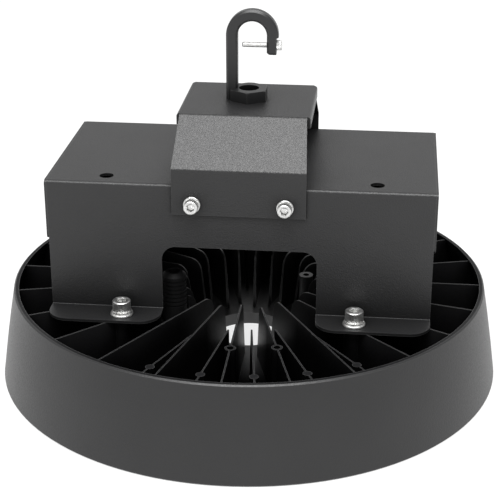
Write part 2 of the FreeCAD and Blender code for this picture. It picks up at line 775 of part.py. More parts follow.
def hook_collar():
    """Hexagon with a turned crown."""
    top = SADDLE_TOP_Z + HEX_H
    corner_r = HEX_AF / 2 / math.cos(math.pi / 6)
    crown_r = corner_r - HEX_CROWN_IN
    crown = turned([(0, SADDLE_TOP_Z - PAST, 0), (corner_r + PAST, SADDLE_TOP_Z - PAST, 0),
                    (corner_r + PAST, top - HEX_CROWN_IN, 0), (crown_r, top, 0), (0, top, 0)])
    return prism(6, HEX_AF, SADDLE_TOP_Z, top, HEX_TURN).common(crown)


def hook():
    top = SADDLE_TOP_Z + HEX_H
    low = SADDLE_TOP_Z - STEM_LEN
    stem = rod(STEM_R, 0, 0, low, SADDLE_TOP_Z + PAST)
    solid = hook_collar().fuse([stem] + hook_bar())
    bore = rod(HOOK_BORE, 0, 0, low - PAST, top + PAST)
    flat = block(TIP_FLAT_X, TIP_X + BAR, -BAR, BAR, TIP_Z - PAST, LOOP_Z - TIP_FLAT_GAP)
    pin = along_x(thread_hole(M4, 0, 0, 0, BAR + 2 * PAST), TIP_X - BAR / 2 - PAST, 0, PIN_Z)
    return solid.cut([bore, flat, pin]).removeSplitter()


def hook_lock_nut():
    low = SADDLE_TOP_Z - SHEET - LOCK_H
    return moved(nut(LOCK_AF, STEM_R + THREAD_PLAY, LOCK_H), 0, 0, low)


def hook_safety_screw():
    """Screw through the tip that stops short of the shank."""
    end_x = SHANK_X + BAR / 2 + PIN_GAP
    return along_x(socket_screw(M4, TIP_FLAT_X - end_x), TIP_FLAT_X, 0, PIN_Z)


def on_feet(shape, height):
    return [moved(shape, x, y, FOOT_TOP + height) for x, y in foot_places()]


def foot_washers():
    return on_feet(tube(WASHER8_R, M8[0] / 2 + WASHER_PLAY, 0, WASHER8_T), 0)


def foot_lock_washers():
    return on_feet(tube(LOCK_WASHER_R, M8[0] / 2 + WASHER_PLAY / 2, 0, LOCK_WASHER_T), WASHER8_T)


def foot_screws():
    return on_feet(socket_screw(M8, FOOT_SCREW_LEN), WASHER8_T + LOCK_WASHER_T)


def on_saddle(shape, offset):
    """Copies of a shape made along Z, set on the saddle's flanges and facing outwards."""
    copies = []
    for x in both(SADDLE_SCREW_X):
        for side in (-1, 1):
            copies.append(along_y(shape, x, side * (SADDLE_Y + offset), SADDLE_SCREW_Z, side))
    return copies


def saddle_washers():
    return on_saddle(tube(WASHER6_R, M6[0] / 2 + WASHER_PLAY, 0, WASHER6_T), 0)


def saddle_screws():
    return on_saddle(socket_screw(M6, SADDLE_SCREW_LEN), WASHER6_T)


def saddle_nuts():
    return on_saddle(nut(NUT6_AF, M6[0] / 2 + THREAD_PLAY, NUT6_H), -2 * SHEET - NUT6_H)


def tray_screws():
    body = flat_screw(M4_FLAT, TRAY_SCREW_LEN)
    z = BOX_TOP - TRAY_SCREW_DROP
    return [along_x(body, x, y, z, side) for x, y, side in tray_screw_places()]


def driver_screw_places():
    ends = (DRIVER_X - DRIVER_EAR / 2, DRIVER_END + DRIVER_EAR / 2)
    return [(x, y) for x in ends for y in both(DRIVER_EAR_Y)]


def driver_section(side, top):
    return [(-side, TRAY_FLOOR, 0), (-side, top, DRIVER_ROUND), (side, top, DRIVER_ROUND),
            (side, TRAY_FLOOR, 0)]


def driver_case():
    """Grooved aluminium extrusion between the two end caps."""
    top = TRAY_FLOOR + DRIVER_H
    body = slab(driver_section(DRIVER_Y, top), at_x(DRIVER_X + DRIVER_CAP),
                Vector(DRIVER_LEN - 2 * DRIVER_CAP, 0, 0))
    grooves = []
    for index in range(DRIVER_GROOVE_COUNT):
        y = (index - (DRIVER_GROOVE_COUNT - 1) / 2) * DRIVER_GROOVE_PITCH
        grooves.append(block(DRIVER_X, DRIVER_END, y - DRIVER_GROOVE_W / 2, y + DRIVER_GROOVE_W / 2,
                             top - DRIVER_GROOVE_T, top + PAST))
    return body.cut(grooves)


def driver_cap(x, way):
    """End cap with a flat ear for two screws and a hole for the lead."""
    top = TRAY_FLOOR + DRIVER_H + DRIVER_CAP_OUT
    edge = DRIVER_EAR_Y + DRIVER_EAR_EDGE
    cap = slab(driver_section(DRIVER_Y + DRIVER_CAP_OUT, top), at_x(x), Vector(way * DRIVER_CAP, 0, 0))
    x0, x1 = sorted((x + way * PAST, x - way * DRIVER_EAR))
    cap = cap.fuse(block(x0, x1, -edge, edge, TRAY_FLOOR, TRAY_FLOOR + DRIVER_EAR_T))
    reach = DRIVER_CAP + PAST
    cuts = [along_x(rod(LEAD_D / 2, 0, 0, -reach, reach), x, 0, TRAY_FLOOR + DRIVER_H / 2)]
    for y in both(DRIVER_EAR_Y):
        cuts.append(rod(M4[0] / 2 + WASHER_PLAY, x - way * DRIVER_EAR / 2, y, TRAY_Z,
                        TRAY_FLOOR + DRIVER_EAR_T + PAST))
    return cap.cut(cuts).removeSplitter()


def driver_caps():
    return [driver_cap(DRIVER_X, 1), driver_cap(DRIVER_END, -1)]


def driver_screws():
    body = plain_screw(M4, DRIVER_SCREW_LEN)
    return [moved(body, x, y, TRAY_FLOOR + DRIVER_EAR_T) for x, y in driver_screw_places()]


def driver_input_lead():
    """Straight sheathed lead from the driver's mains end into the terminal block."""
    start = DRIVER_END - DRIVER_CAP
    length = BLOCK_X + LEAD_IN - start
    body = rod(LEAD_D / 2 - THREAD_PLAY, 0, 0, 0, length)
    return along_x(body, start, 0, TRAY_FLOOR + DRIVER_H / 2)


def pole_places():
    return [(index - (BLOCK_POLE_COUNT - 1) / 2) * BLOCK_PITCH for index in range(BLOCK_POLE_COUNT)]


def terminal_block():
    top = TRAY_FLOOR + BLOCK_H
    end_x = BLOCK_X + BLOCK_LEN
    side = (BLOCK_POLE_COUNT - 1) / 2 * BLOCK_PITCH + BLOCK_EDGE
    body = block(BLOCK_X, end_x, -side, side, TRAY_FLOOR, top)
    cuts = [block(end_x - BLOCK_STEP, end_x + PAST, -side - PAST, side + PAST,
                  top - BLOCK_STEP_H, top + PAST)]
    port = rod(BLOCK_PORT_R, 0, 0, -BLOCK_PORT_LEN, PAST)
    for y in pole_places():
        cuts.append(rod(BLOCK_WELL_R, BLOCK_X + BLOCK_SCREW_IN, y, top - BLOCK_WELL_H, top + PAST))
        cuts.append(along_x(port, end_x, y, TRAY_FLOOR + BLOCK_PORT_UP))
    lead_hole = rod(LEAD_D / 2, 0, 0, -PAST, LEAD_IN + PAST)
    cuts.append(along_x(lead_hole, BLOCK_X, 0, TRAY_FLOOR + DRIVER_H / 2))
    return body.cut(cuts)


def terminal_screws():
    """Screws whose tips stand on the floors of the block's wells."""
    seat = TRAY_FLOOR + BLOCK_H - BLOCK_WELL_H + TERMINAL_SCREW_LEN
    body = plain_screw(TERMINAL_SCREW, TERMINAL_SCREW_LEN)
    return [moved(body, BLOCK_X + BLOCK_SCREW_IN, y, seat) for y in pole_places()]


def earth_screw():
    return moved(plain_screw(M4, EARTH_SCREW_LEN), EARTH_X, EARTH_Y, TRAY_FLOOR)


def grommet(hole, sheet):
    """Rubber ring whose groove grips the sheet, the sheet's lower face at z = 0."""
    bore = hole - GROMMET_WALL
    neck = hole - THREAD_PLAY
    lip = hole + GROMMET_LIP
    top = sheet + GROMMET_LIP_T
    return turned([(bore, -GROMMET_LIP_T, 0), (lip, -GROMMET_LIP_T, 0), (lip, 0, 0), (neck, 0, 0),
                   (neck, sheet, 0), (lip, sheet, 0), (lip, top, 0), (bore, top, 0)])


def mains_grommet():
    return moved(grommet(MAINS_HOLE, SHEET), 0, 0, BOX_TOP - SHEET)


def lead_grommet():
    gx, gy = polar(GLAND_R, GLAND_ANGLE)
    return moved(grommet(LEAD_HOLE, TRAY_T), gx, gy, TRAY_Z)


def gland_place(shape):
    gx, gy = polar(GLAND_R, GLAND_ANGLE)
    return moved(shape, gx, gy, GLAND_SEAT_Z)


def lead_gland_body():
    """Hexagon with a threaded stem in the casting and a neck that carries the cap."""
    top = GLAND_HEX_H + GLAND_NECK_H
    hexagon = prism(6, GLAND_AF, 0, GLAND_HEX_H, GLAND_HEX_TURN)
    stem = rod(GLAND_STEM, 0, 0, -GLAND_STEM_LEN, PAST)
    neck = rod(GLAND_NECK_R, 0, 0, GLAND_HEX_H - PAST, top)
    bore = rod(GLAND_PASSAGE, 0, 0, -GLAND_STEM_LEN - PAST, top + PAST)
    return gland_place(hexagon.fuse([stem, neck]).cut(bore))


def lead_gland_seal():
    """Rubber sleeve inside the cap, between the neck's mouth and the cap's top."""
    low = GLAND_HEX_H + GLAND_NECK_H
    top = GLAND_HEX_H + GLAND_CAP_H - GLAND_CAP_TOP_T
    return gland_place(tube(GLAND_NECK_R - GLAND_SEAL_GAP, GLAND_SEAL_BORE, low, top))


def lead_gland_cap():
    """Domed cap with grooves along its upper part."""
    low = GLAND_HEX_H + GLAND_CAP_GAP
    top = GLAND_HEX_H + GLAND_CAP_H
    bore = GLAND_NECK_R + THREAD_PLAY
    outer = bore + GLAND_CAP_WALL
    first = top - GLAND_RIB_TOP - GLAND_RIB_COUNT * GLAND_RIB_PITCH
    root = outer - GLAND_RIB_DEPTH
    corners = [(bore, low, 0), (outer, low, 0)]
    for index in range(GLAND_RIB_COUNT):
        z = first + index * GLAND_RIB_PITCH
        groove_top = z + GLAND_RIB_PITCH - GLAND_RIB_T
        corners += [(outer, z, 0), (root, z, 0), (root, groove_top, 0), (outer, groove_top, 0)]
    corners += [(outer, top - GLAND_CAP_DOME, 0), (outer - GLAND_CAP_DOME, top, 0),
                (GLAND_CAP_MOUTH, top, 0), (GLAND_CAP_MOUTH, top - GLAND_CAP_TOP_T, 0),
                (bore, top - GLAND_CAP_TOP_T, 0)]
    return gland_place(turned(corners))


def led_board():
    board = tube(BOARD_OUT_R, BOARD_IN_R, BOARD_LOW, FLOOR_LOW)
    low = BOARD_LOW - PAST
    high = FLOOR_LOW + PAST
    cuts = [rod(BOARD_LEAD_R, *polar(GLAND_R, GLAND_ANGLE), low, high)]
    for place in ring_places(BOARD_SCREW_R, BOARD_SCREW_COUNT):
        cuts.append(rod(M3[0] / 2 + WASHER_PLAY, *place, low, high))
    return board.cut(cuts)


def chip_rings():
    """Radius and count of each ring of chips."""
    return [(CHIP_FIRST_R + CHIP_STEP * index, CHIP_FIRST_COUNT + CHIP_MORE_COUNT * index)
            for index in range(CHIP_RING_COUNT)]


def led_chips():
    """Square chips in rings, with one place left free at the lead's hole."""
    chip = block(-CHIP / 2, CHIP / 2, -CHIP / 2, CHIP / 2, BOARD_LOW - CHIP_H, BOARD_LOW)
    lead_place = polar(GLAND_R, GLAND_ANGLE)
    copies = []
    for radius, count in chip_rings():
        for index in range(count):
            angle = 360.0 * index / count
            x, y = polar(radius, angle)
            if math.dist((x, y), lead_place) > CHIP_CLEAR:
                copies.append(moved(chip, x, y, 0, Vector(0, 0, 1), angle))
    return copies


def board_screws():
    body = facing_down(plain_screw(M3, BOARD_SCREW_LEN))
    return [moved(body, *place, BOARD_LOW) for place in ring_places(BOARD_SCREW_R, BOARD_SCREW_COUNT)]


def lens_cover():
    """Annular lens plate, flat above, with one raised ring below each ring of chips."""
    crest = LENS_LOW - LENS_RIDGE_H
    half = (CHIP_STEP - LENS_VALLEY) / 2
    corners = [(LENS_IN_R, LENS_TOP, 0), (LENS_IN_R, LENS_LOW, 0)]
    for radius, _ in chip_rings():
        corners += [(radius - half, LENS_LOW, 0), (radius - half + LENS_SLOPE, crest, 0),
                    (radius + half - LENS_SLOPE, crest, 0), (radius + half, LENS_LOW, 0)]
    corners += [(LENS_OUT_R, LENS_LOW, 0), (LENS_OUT_R, LENS_TOP, 0)]
    holes = [rod(M4[0] / 2 + HOLE_PLAY / 2, x, y, LENS_LOW - PAST, LENS_TOP + PAST)
             for x, y in lens_screw_places()]
    return turned(corners).cut(holes)


def lens_screws():
    body = facing_down(plain_screw(M4, LENS_SCREW_LEN))
    return [moved(body, x, y, LENS_LOW) for x, y in lens_screw_places()]


def lens_gasket_outer():
    outer = OUT_SCREW_R - OUT_GASKET_GAP
    return tube(outer, outer - GASKET_W, LENS_TOP, LAND_Z)


def lens_gasket_inner():
    inner = IN_SCREW_R + IN_GASKET_GAP
    return tube(inner + GASKET_W, inner, LENS_TOP, LAND_Z)


NODES = {
    "heat_sink": heat_sink,
    "driver_cover": driver_cover,
    "driver_tray": driver_tray,
    "saddle": saddle,
    "hook": hook,
    "hook_lock_nut": hook_lock_nut,
    "hook_safety_screw": hook_safety_screw,
    "saddle_screws": saddle_screws,
    "saddle_washers": saddle_washers,
    "saddle_nuts": saddle_nuts,
    "foot_screws": foot_screws,
    "foot_lock_washers": foot_lock_washers,
    "foot_washers": foot_washers,
    "tray_screws": tray_screws,
    "driver_case": driver_case,
    "driver_caps": driver_caps,
    "driver_screws": driver_screws,
    "driver_input_lead": driver_input_lead,
    "terminal_block": terminal_block,
    "terminal_screws": terminal_screws,
    "earth_screw": earth_screw,
    "mains_grommet": mains_grommet,
    "lead_grommet": lead_grommet,
    "lead_gland_body": lead_gland_body,
    "lead_gland_seal": lead_gland_seal,
    "lead_gland_cap": lead_gland_cap,
    "led_board": led_board,
    "led_chips": led_chips,
    "board_screws": board_screws,
    "lens_cover": lens_cover,
    "lens_screws": lens_screws,
    "lens_gasket_outer": lens_gasket_outer,
    "lens_gasket_inner": lens_gasket_inner,
}

os.makedirs("parts", exist_ok=True)
for name, make in NODES.items():
    made = make()
    if isinstance(made, list):
        made = Part.makeCompound(made)
    made.exportStep("parts/" + name + ".step")
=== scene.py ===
import json
import math

import bmesh
import bpy
from mathutils import Matrix, Vector


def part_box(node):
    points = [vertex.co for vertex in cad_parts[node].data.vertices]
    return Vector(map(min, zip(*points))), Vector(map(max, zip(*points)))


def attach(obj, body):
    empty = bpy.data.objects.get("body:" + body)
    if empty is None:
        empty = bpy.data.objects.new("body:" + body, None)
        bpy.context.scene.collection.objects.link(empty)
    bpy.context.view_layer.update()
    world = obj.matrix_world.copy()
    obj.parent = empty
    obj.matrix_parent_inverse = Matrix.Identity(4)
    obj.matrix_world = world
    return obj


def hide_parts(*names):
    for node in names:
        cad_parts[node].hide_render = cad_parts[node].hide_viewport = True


# Lengths are in metres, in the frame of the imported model.
MM = 0.001

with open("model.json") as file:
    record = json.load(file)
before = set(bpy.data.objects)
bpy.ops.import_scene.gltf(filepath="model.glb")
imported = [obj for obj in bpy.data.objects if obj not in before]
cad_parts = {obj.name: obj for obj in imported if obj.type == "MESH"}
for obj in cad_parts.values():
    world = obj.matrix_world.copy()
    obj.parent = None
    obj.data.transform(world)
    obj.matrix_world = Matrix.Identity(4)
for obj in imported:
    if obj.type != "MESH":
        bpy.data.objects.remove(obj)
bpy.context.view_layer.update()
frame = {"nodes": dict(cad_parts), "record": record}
nodes = frame["nodes"]

# Camera, fitted to the photograph
CAMERA_PLACE = Vector((0.1016, -0.9560, 0.4992))
CAMERA_TARGET = Vector((0.0007, 0.0, 0.0887))
SENSOR = 36.0
LENS = 100.67
CLIP_NEAR = 0.01
CLIP_FAR = 50

# Studio: one soft light in front and above, white surroundings and a pale floor that glows
KEY_PLACE = Vector((0.0, -0.8, 1.9))
KEY_TARGET = Vector((0, 0, 0.12))
KEY_SIZE = (1.6, 0.9)
KEY_POWER = 56
WORLD_STRENGTH = 0.7
FLOOR_SIZE = 30
FLOOR_CLOUD = 0.6
FLOOR_GLOW = 0.78

# Sockets of the colour mix node, several of which share one name
MIX_FACTOR = 0
MIX_FIRST = 6
MIX_SECOND = 7
MIX_RESULT = 2

# Range in which most of a noise lies, and the cosines between the rounded and the plain normal from
# which an edge begins and is full
NOISE_MIDDLE = (0.3, 0.7)
EDGE_COSINES = (0.98, 0.75)
EDGE_SAMPLES = 4
SHELTER_SAMPLES = 8
ALL = (0.0, 1.0)

# Powder coat: width of the painted highlight along edges and size of the clouds
COAT_EDGE = 0.6 * MM
COAT_CLOUD = 45 * MM

# Reach of the painted shade between the fins and in the folds of the sheets and near other parts, and the
# open shares of the sky between which that painted shade fades
FIN_REACH = 40 * MM
FIN_SKY = (0.5, 0.9)
FOLD_REACH = 45 * MM
FOLD_SKY = (0.2, 1.0)

# Strength of the shadow in folds, and how near an edge it ends, as a value of the edge mask
FOLD_SHADOW = 0.9
FOLD_END = 0.5

# The zone round the vent over which the casting's painted shade gives way to a painted brighter reflection,
# and the radius where its inside ends with the width of that change
VENT_ZONE = (35 * MM, 85 * MM)
INSIDE_R = 174.3 * MM
INSIDE_BLEND = 1 * MM

# Gloss of the coat on open faces, raised by the vent as a painted reflection and lowered in folds as painted
# shade, and the shares of it that are left on the casting's inner faces and deep between its fins, also as
# painted shade
OPEN_GLOSS = 0.5
VENT_GLOSS = 0.8
FOLD_GLOSS = 0.05
INSIDE_GLOSS_SHARE = 0.15
DEEP_GLOSS_SHARE = 0.06

# Shares of the full tone: in the full painted shade, and at the darkest and lightest of the clouds
SHADOW_TONE = 0.2
COAT_TONES = (0.9, 1.1)
MOULD_TONES = (0.88, 1.08)

# The fine grain's size and depth as shares of the pebbled grain's
FINE_SIZE = 0.35
FINE_DEPTH = 0.3


# Shader building

class Shader:
    """A material under construction: one Principled surface and the nodes that feed it."""

    def __init__(self, name):
        self.material = bpy.data.materials.new(name)
        self.material.use_nodes = True
        self.tree = self.material.node_tree
        self.tree.nodes.clear()
        self.surface = self.node("ShaderNodeBsdfPrincipled")
        output = self.node("ShaderNodeOutputMaterial")
        self.link(self.surface, "BSDF", output, "Surface")
        self.place = self.node("ShaderNodeTexCoord")

    def node(self, kind, **settings):
        made = self.tree.nodes.new(kind)
        for key, value in settings.items():
            setattr(made, key, value)
        return made

    def link(self, source, output, target, socket):
        self.tree.links.new(source.outputs[output], target.inputs[socket])

    def set(self, **values):
        for key, value in values.items():
            self.surface.inputs[key.replace("_", " ")].default_value = value

    def noise(self, size, detail=2.0, stretch=(1, 1, 1)):
        """Noise whose cells measure about the given size in metres."""
        mapping = self.node("ShaderNodeMapping")
        mapping.inputs["Scale"].default_value = stretch
        self.link(self.place, "Object", mapping, "Vector")
        made = self.node("ShaderNodeTexNoise")
        made.inputs["Scale"].default_value = 1.0 / size
        made.inputs["Detail"].default_value = detail
        self.link(mapping, "Vector", made, "Vector")
        return made

    def span(self, source, output, given, wanted=ALL):
        """Maps one range of a value onto another."""
        made = self.node("ShaderNodeMapRange")
        made.inputs["From Min"].default_value = given[0]
        made.inputs["From Max"].default_value = given[1]
        made.inputs["To Min"].default_value = wanted[0]
        made.inputs["To Max"].default_value = wanted[1]
        self.link(source, output, made, "Value")
        return made

    def vary(self, noise, wanted=ALL):
        """Spreads the middle of a noise over a range."""
        return self.span(noise, "Fac", NOISE_MIDDLE, wanted)

    def colour(self, factor, dark, light):
        """Colour between two tones, led by a mapped value."""
        made = self.node("ShaderNodeMix", data_type="RGBA")
        made.inputs[MIX_FIRST].default_value = (*dark, 1)
        made.inputs[MIX_SECOND].default_value = (*light, 1)
        self.link(factor, "Result", made, MIX_FACTOR)
        return made

    def cover(self, below, factor, tone):
        """Colour that gives way to one tone as the first output of the factor rises to 1."""
        made = self.node("ShaderNodeMix", data_type="RGBA")
        made.inputs[MIX_SECOND].default_value = (*tone, 1)
        self.link(factor, 0, made, MIX_FACTOR)
        self.link(below, MIX_RESULT, made, MIX_FIRST)
        return made

    def paint(self, tone):
        """Gives the surface a mixed colour."""
        self.link(tone, MIX_RESULT, self.surface, "Base Color")

    def roughen(self, noise, wanted):
        """Lets the surface's roughness follow a noise."""
        self.link(self.vary(noise, wanted), "Result", self.surface, "Roughness")

    def edges(self, radius):
        """About 1 within the given radius of a convex or concave edge, and 0 elsewhere."""
        soft = self.node("ShaderNodeBevel", samples=EDGE_SAMPLES)
        soft.inputs["Radius"].default_value = radius
        plain = self.node("ShaderNodeNewGeometry")
        dot = self.node("ShaderNodeVectorMath", operation="DOT_PRODUCT")
        self.link(soft, "Normal", dot, 0)
        self.link(plain, "Normal", dot, 1)
        return self.span(dot, "Value", EDGE_COSINES)

    def shelter(self, distance, sky, own_walls):
        """1 where walls leave only the lower open share of the sky, and 0 from the higher one on."""
        open_sky = self.node("ShaderNodeAmbientOcclusion", samples=SHELTER_SAMPLES, only_local=own_walls)
        open_sky.inputs["Distance"].default_value = distance
        return self.span(open_sky, "AO", sky, (1.0, 0.0))

    def off_axis(self, near, far):
        """0 at one distance from the light's axis, and 1 at another."""
        flat = self.node("ShaderNodeVectorMath", operation="MULTIPLY")
        flat.inputs[1].default_value = (1, 1, 0)
        self.link(self.place, "Object", flat, 0)
        reach = self.node("ShaderNodeVectorMath", operation="LENGTH")
        self.link(flat, "Vector", reach, 0)
        return self.span(reach, "Value", (near, far))

    def times(self, *factors):
        """Product of the first outputs of two or more nodes."""
        last = factors[0]
        for factor in factors[1:]:
            made = self.node("ShaderNodeMath", operation="MULTIPLY")
            self.link(last, 0, made, 0)
            self.link(factor, 0, made, 1)
            last = made
        return last

    def bump(self, *layers):
        """Chains height layers (source, output, depth in metres) into the surface normal."""
        last = None
        for source, output, depth in layers:
            made = self.node("ShaderNodeBump")
            made.inputs["Strength"].default_value = 1.0
            made.inputs["Distance"].default_value = depth
            self.link(source, output, made, "Height")
            if last is not None:
                self.link(last, "Normal", made, "Normal")
            last = made
        self.link(last, "Normal", self.surface, "Normal")


def scaled(tone, share):
    return [min(1.0, part * share) for part in tone]


# Materials

def casting_shade_and_gloss(made, edge):
    """Painted shade of the casting and its gloss: darker and less reflective between its fins, less
    reflective on its inner faces, and with no painted shade but a painted brighter reflection around its
    vent.
    """
    off_vent = made.off_axis(*VENT_ZONE)
    # Painted shade: full where the casting's own walls leave little open sky, and none near the vent
    deep = made.times(made.shelter(FIN_REACH, FIN_SKY, own_walls=True), off_vent)
    inside = made.off_axis(INSIDE_R, INSIDE_R - INSIDE_BLEND)
    face = made.times(inside, made.span(edge, "Result", ALL, (1, 0)), off_vent)
    # Painted shade and light in the reflection: gloss drops deep between the fins and on the inner faces,
    # and rises by the vent
    gloss = made.times(made.span(deep, "Value", ALL, (1, DEEP_GLOSS_SHARE)),
                       made.span(face, "Value", ALL, (1, INSIDE_GLOSS_SHARE)),
                       made.span(off_vent, "Result", ALL, (VENT_GLOSS, OPEN_GLOSS)))
    return deep, gloss


def sheet_shade_and_gloss(made, edge):
    """Painted shade of folded sheets and the hook and its gloss: darker and less reflective in folds and
    near other parts, but not along their edges.
    """
    off_edge = made.span(edge, "Result", (0, FOLD_END), (FOLD_SHADOW, 0.0))
    # Painted shade: full where any walls, other parts' too, leave little open sky, and kept off the edges
    deep = made.times(made.shelter(FOLD_REACH, FOLD_SKY, own_walls=False), off_edge)
    # Painted shade in the reflection: gloss drops in folds and near other parts
    return deep, made.span(deep, "Value", ALL, (OPEN_GLOSS, FOLD_GLOSS))


def powder_coat(name, tone, edge_tone, roughness, grain, depth, coat):
    """Textured black powder coat: fine pebbled grain, broad soft gloss, a painted highlight along the edges,
    and painted shade from the coat function given.
    """
    made = Shader(name)
    pebble = made.noise(grain, detail=3.0)
    fine = made.noise(grain * FINE_SIZE, detail=1.0)
    cloud = made.noise(COAT_CLOUD)
    edge = made.edges(COAT_EDGE)
    darkest, lightest = [scaled(tone, share) for share in COAT_TONES]
    body = made.colour(made.vary(cloud), darkest, lightest)
    # Painted highlight: edges, convex and concave, take the lighter edge tone
    edge_lit = made.cover(body, edge, edge_tone)
    deep, gloss = coat(made, edge)
    # Painted shade: the colour falls towards a fifth of its tone where the shade mask is full
    made.paint(made.cover(edge_lit, deep, scaled(tone, SHADOW_TONE)))
    # The gloss carries the painted shade and light into the reflection strength
    made.link(gloss, 0, made.surface, "Specular IOR Level")
    made.roughen(pebble, roughness)
    made.bump((pebble, "Fac", depth), (fine, "Fac", depth * FINE_DEPTH))
    made.set(IOR=1.5)
    return made.material


def zinc_plate(name, groove_shade=None):
    """Bright zinc plate with faint clouding and turning marks; where a groove shade is given, painted shade
    darkens its grooves.
    """
    made = Shader(name)
    cloud = made.noise(2.5 * MM, detail=3.0)
    marks = made.noise(0.3 * MM, stretch=(1, 1, 4))
    tone = made.colour(made.vary(cloud), (0.64, 0.64, 0.63), (0.86, 0.86, 0.85))
    if groove_shade:
        # Painted shade: the knurl grooves darken where the screw's own walls close in
        grooves = made.shelter(0.8 * MM, (0.7, 0.95), own_walls=True)
        tone = made.cover(tone, grooves, groove_shade)
    made.paint(tone)
    made.roughen(cloud, (0.3, 0.42))
    made.bump((marks, "Fac", 0.05 * MM))
    made.set(Metallic=1.0)
    return made.material


def moulded(name, tone, roughness, sheen=0.0, gloss=0.5):
    """Moulded plastic or rubber with an eroded fine texture."""
    made = Shader(name)
    grain = made.noise(0.6 * MM, detail=3.0)
    cloud = made.noise(12 * MM)
    darkest, lightest = [scaled(tone, share) for share in MOULD_TONES]
    made.paint(made.colour(made.vary(cloud), darkest, lightest))
    made.roughen(grain, roughness)
    made.bump((grain, "Fac", 0.03 * MM))
    made.set(Sheen_Weight=sheen, Specular_IOR_Level=gloss)
    return made.material


def extrusion(name):
    """Anodised aluminium with drawing lines along X."""
    made = Shader(name)
    lines = made.noise(0.5 * MM, stretch=(0.02, 1, 1))
    cloud = made.noise(20 * MM)
    made.paint(made.colour(made.vary(cloud), (0.5, 0.5, 0.51), (0.66, 0.66, 0.67)))
    made.roughen(lines, (0.32, 0.46))
    made.bump((lines, "Fac", 0.01 * MM))
    made.set(Metallic=0.9)
    return made.material


def solder_mask(name):
    """White board lacquer with ring-shaped tracks that show as faint steps."""
    made = Shader(name)
    wave = made.node("ShaderNodeTexWave", wave_type="RINGS", rings_direction="Z")
    wave.inputs["Scale"].default_value = 28.0
    made.link(made.place, "Object", wave, "Vector")
    track = made.span(wave, "Fac", (0.45, 0.5))
    grain = made.noise(0.8 * MM)
    made.paint(made.colour(track, (0.74, 0.75, 0.74), (0.84, 0.85, 0.84)))
    made.roughen(grain, (0.3, 0.42))
    made.bump((track, "Result", 0.03 * MM))
    return made.material


def phosphor(name):
    """Yellow silicone phosphor over the chips."""
    made = Shader(name)
    grain = made.noise(0.25 * MM)
    made.paint(made.colour(made.vary(grain), (0.85, 0.6, 0.1), (0.95, 0.74, 0.2)))
    made.bump((grain, "Fac", 0.01 * MM))
    made.set(Roughness=0.35)
    return made.material


def clear_plastic(name):
    """Clear polycarbonate with a faint moulding haze."""
    made = Shader(name)
    haze = made.noise(30 * MM)
    made.roughen(haze, (0.03, 0.1))
    made.set(Base_Color=(0.95, 0.97, 0.97, 1), IOR=1.58, Transmission_Weight=0.95)
    made.bump((haze, "Fac", 0.05 * MM))
    return made.material


MATERIALS = {
    # The second tone of each powder coat is its painted edge highlight
    "cast_black": powder_coat("cast_black", (0.010, 0.010, 0.0105), (0.10, 0.10, 0.10),
                              (0.35, 0.46), 1.2 * MM, 0.1 * MM, casting_shade_and_gloss),
    "sheet_black": powder_coat("sheet_black", (0.014, 0.014, 0.0145), (0.05, 0.05, 0.05),
                               (0.35, 0.46), 1.0 * MM, 0.22 * MM, sheet_shade_and_gloss),
    "hook_black": powder_coat("hook_black", (0.011, 0.011, 0.0115), (0.03, 0.03, 0.03),
                              (0.31, 0.42), 0.8 * MM, 0.03 * MM, sheet_shade_and_gloss),
    "zinc": zinc_plate("zinc"),
    # The knurled heads' grooves get painted shade
    "knurled_zinc": zinc_plate("knurled_zinc", groove_shade=(0.04, 0.04, 0.038)),
    "driver_metal": extrusion("driver_metal"),
    "black_plastic": moulded("black_plastic", (0.004, 0.004, 0.0042), (0.56, 0.68), gloss=0.15),
    "white_plastic": moulded("white_plastic", (0.72, 0.72, 0.69), (0.39, 0.51)),
    "black_rubber": moulded("black_rubber", (0.015, 0.015, 0.016), (0.59, 0.71), sheen=0.1),
    "silicone": moulded("silicone", (0.42, 0.42, 0.41), (0.54, 0.66), sheen=0.1),
    "lead_sheath": moulded("lead_sheath", (0.02, 0.02, 0.021), (0.44, 0.56)),
    "board_white": solder_mask("board_white"),
    "led_phosphor": phosphor("led_phosphor"),
    "clear_lens": clear_plastic("clear_lens"),
}


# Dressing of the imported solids

MERGE_ANGLE = math.radians(0.6)
ROUNDED_ANGLE = math.radians(28.0)
ROUNDED_SEGMENTS = 2
ROUNDED_WIDTHS = {
    "heat_sink": 0.35 * MM,
    "driver_cover": 0.25 * MM,
    "driver_tray": 0.2 * MM,
    "saddle": 0.25 * MM,
    "hook": 0.8 * MM,
    "hook_lock_nut": 0.3 * MM,
    "driver_case": 0.3 * MM,
    "driver_caps": 0.3 * MM,
    "terminal_block": 0.3 * MM,
    "lead_gland_body": 0.3 * MM,
    "lead_gland_cap": 0.15 * MM,
}


def dress(name, slot):
    """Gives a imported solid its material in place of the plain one."""
    mesh = nodes[name].data
    mesh.materials.clear()
    mesh.materials.append(MATERIALS[slot])


def soften(name, width):
    """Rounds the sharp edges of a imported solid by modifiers, with its vertices left as they are."""
    solid = nodes[name]
    merge = solid.modifiers.new("merge", "DECIMATE")
    merge.decimate_type = "DISSOLVE"
    merge.angle_limit = MERGE_ANGLE
    bevel = solid.modifiers.new("edges", "BEVEL")
    bevel.width = width
    bevel.segments = ROUNDED_SEGMENTS
    bevel.limit_method = "ANGLE"
    bevel.angle_limit = ROUNDED_ANGLE
    bevel.use_clamp_overlap = True
    bevel.harden_normals = True
    for polygon in solid.data.polygons:
        polygon.use_smooth = True


for part in frame["record"]["subparts"]:
    dress(part["node"], part["material_slot"])

for solid, width in ROUNDED_WIDTHS.items():
    soften(solid, width)


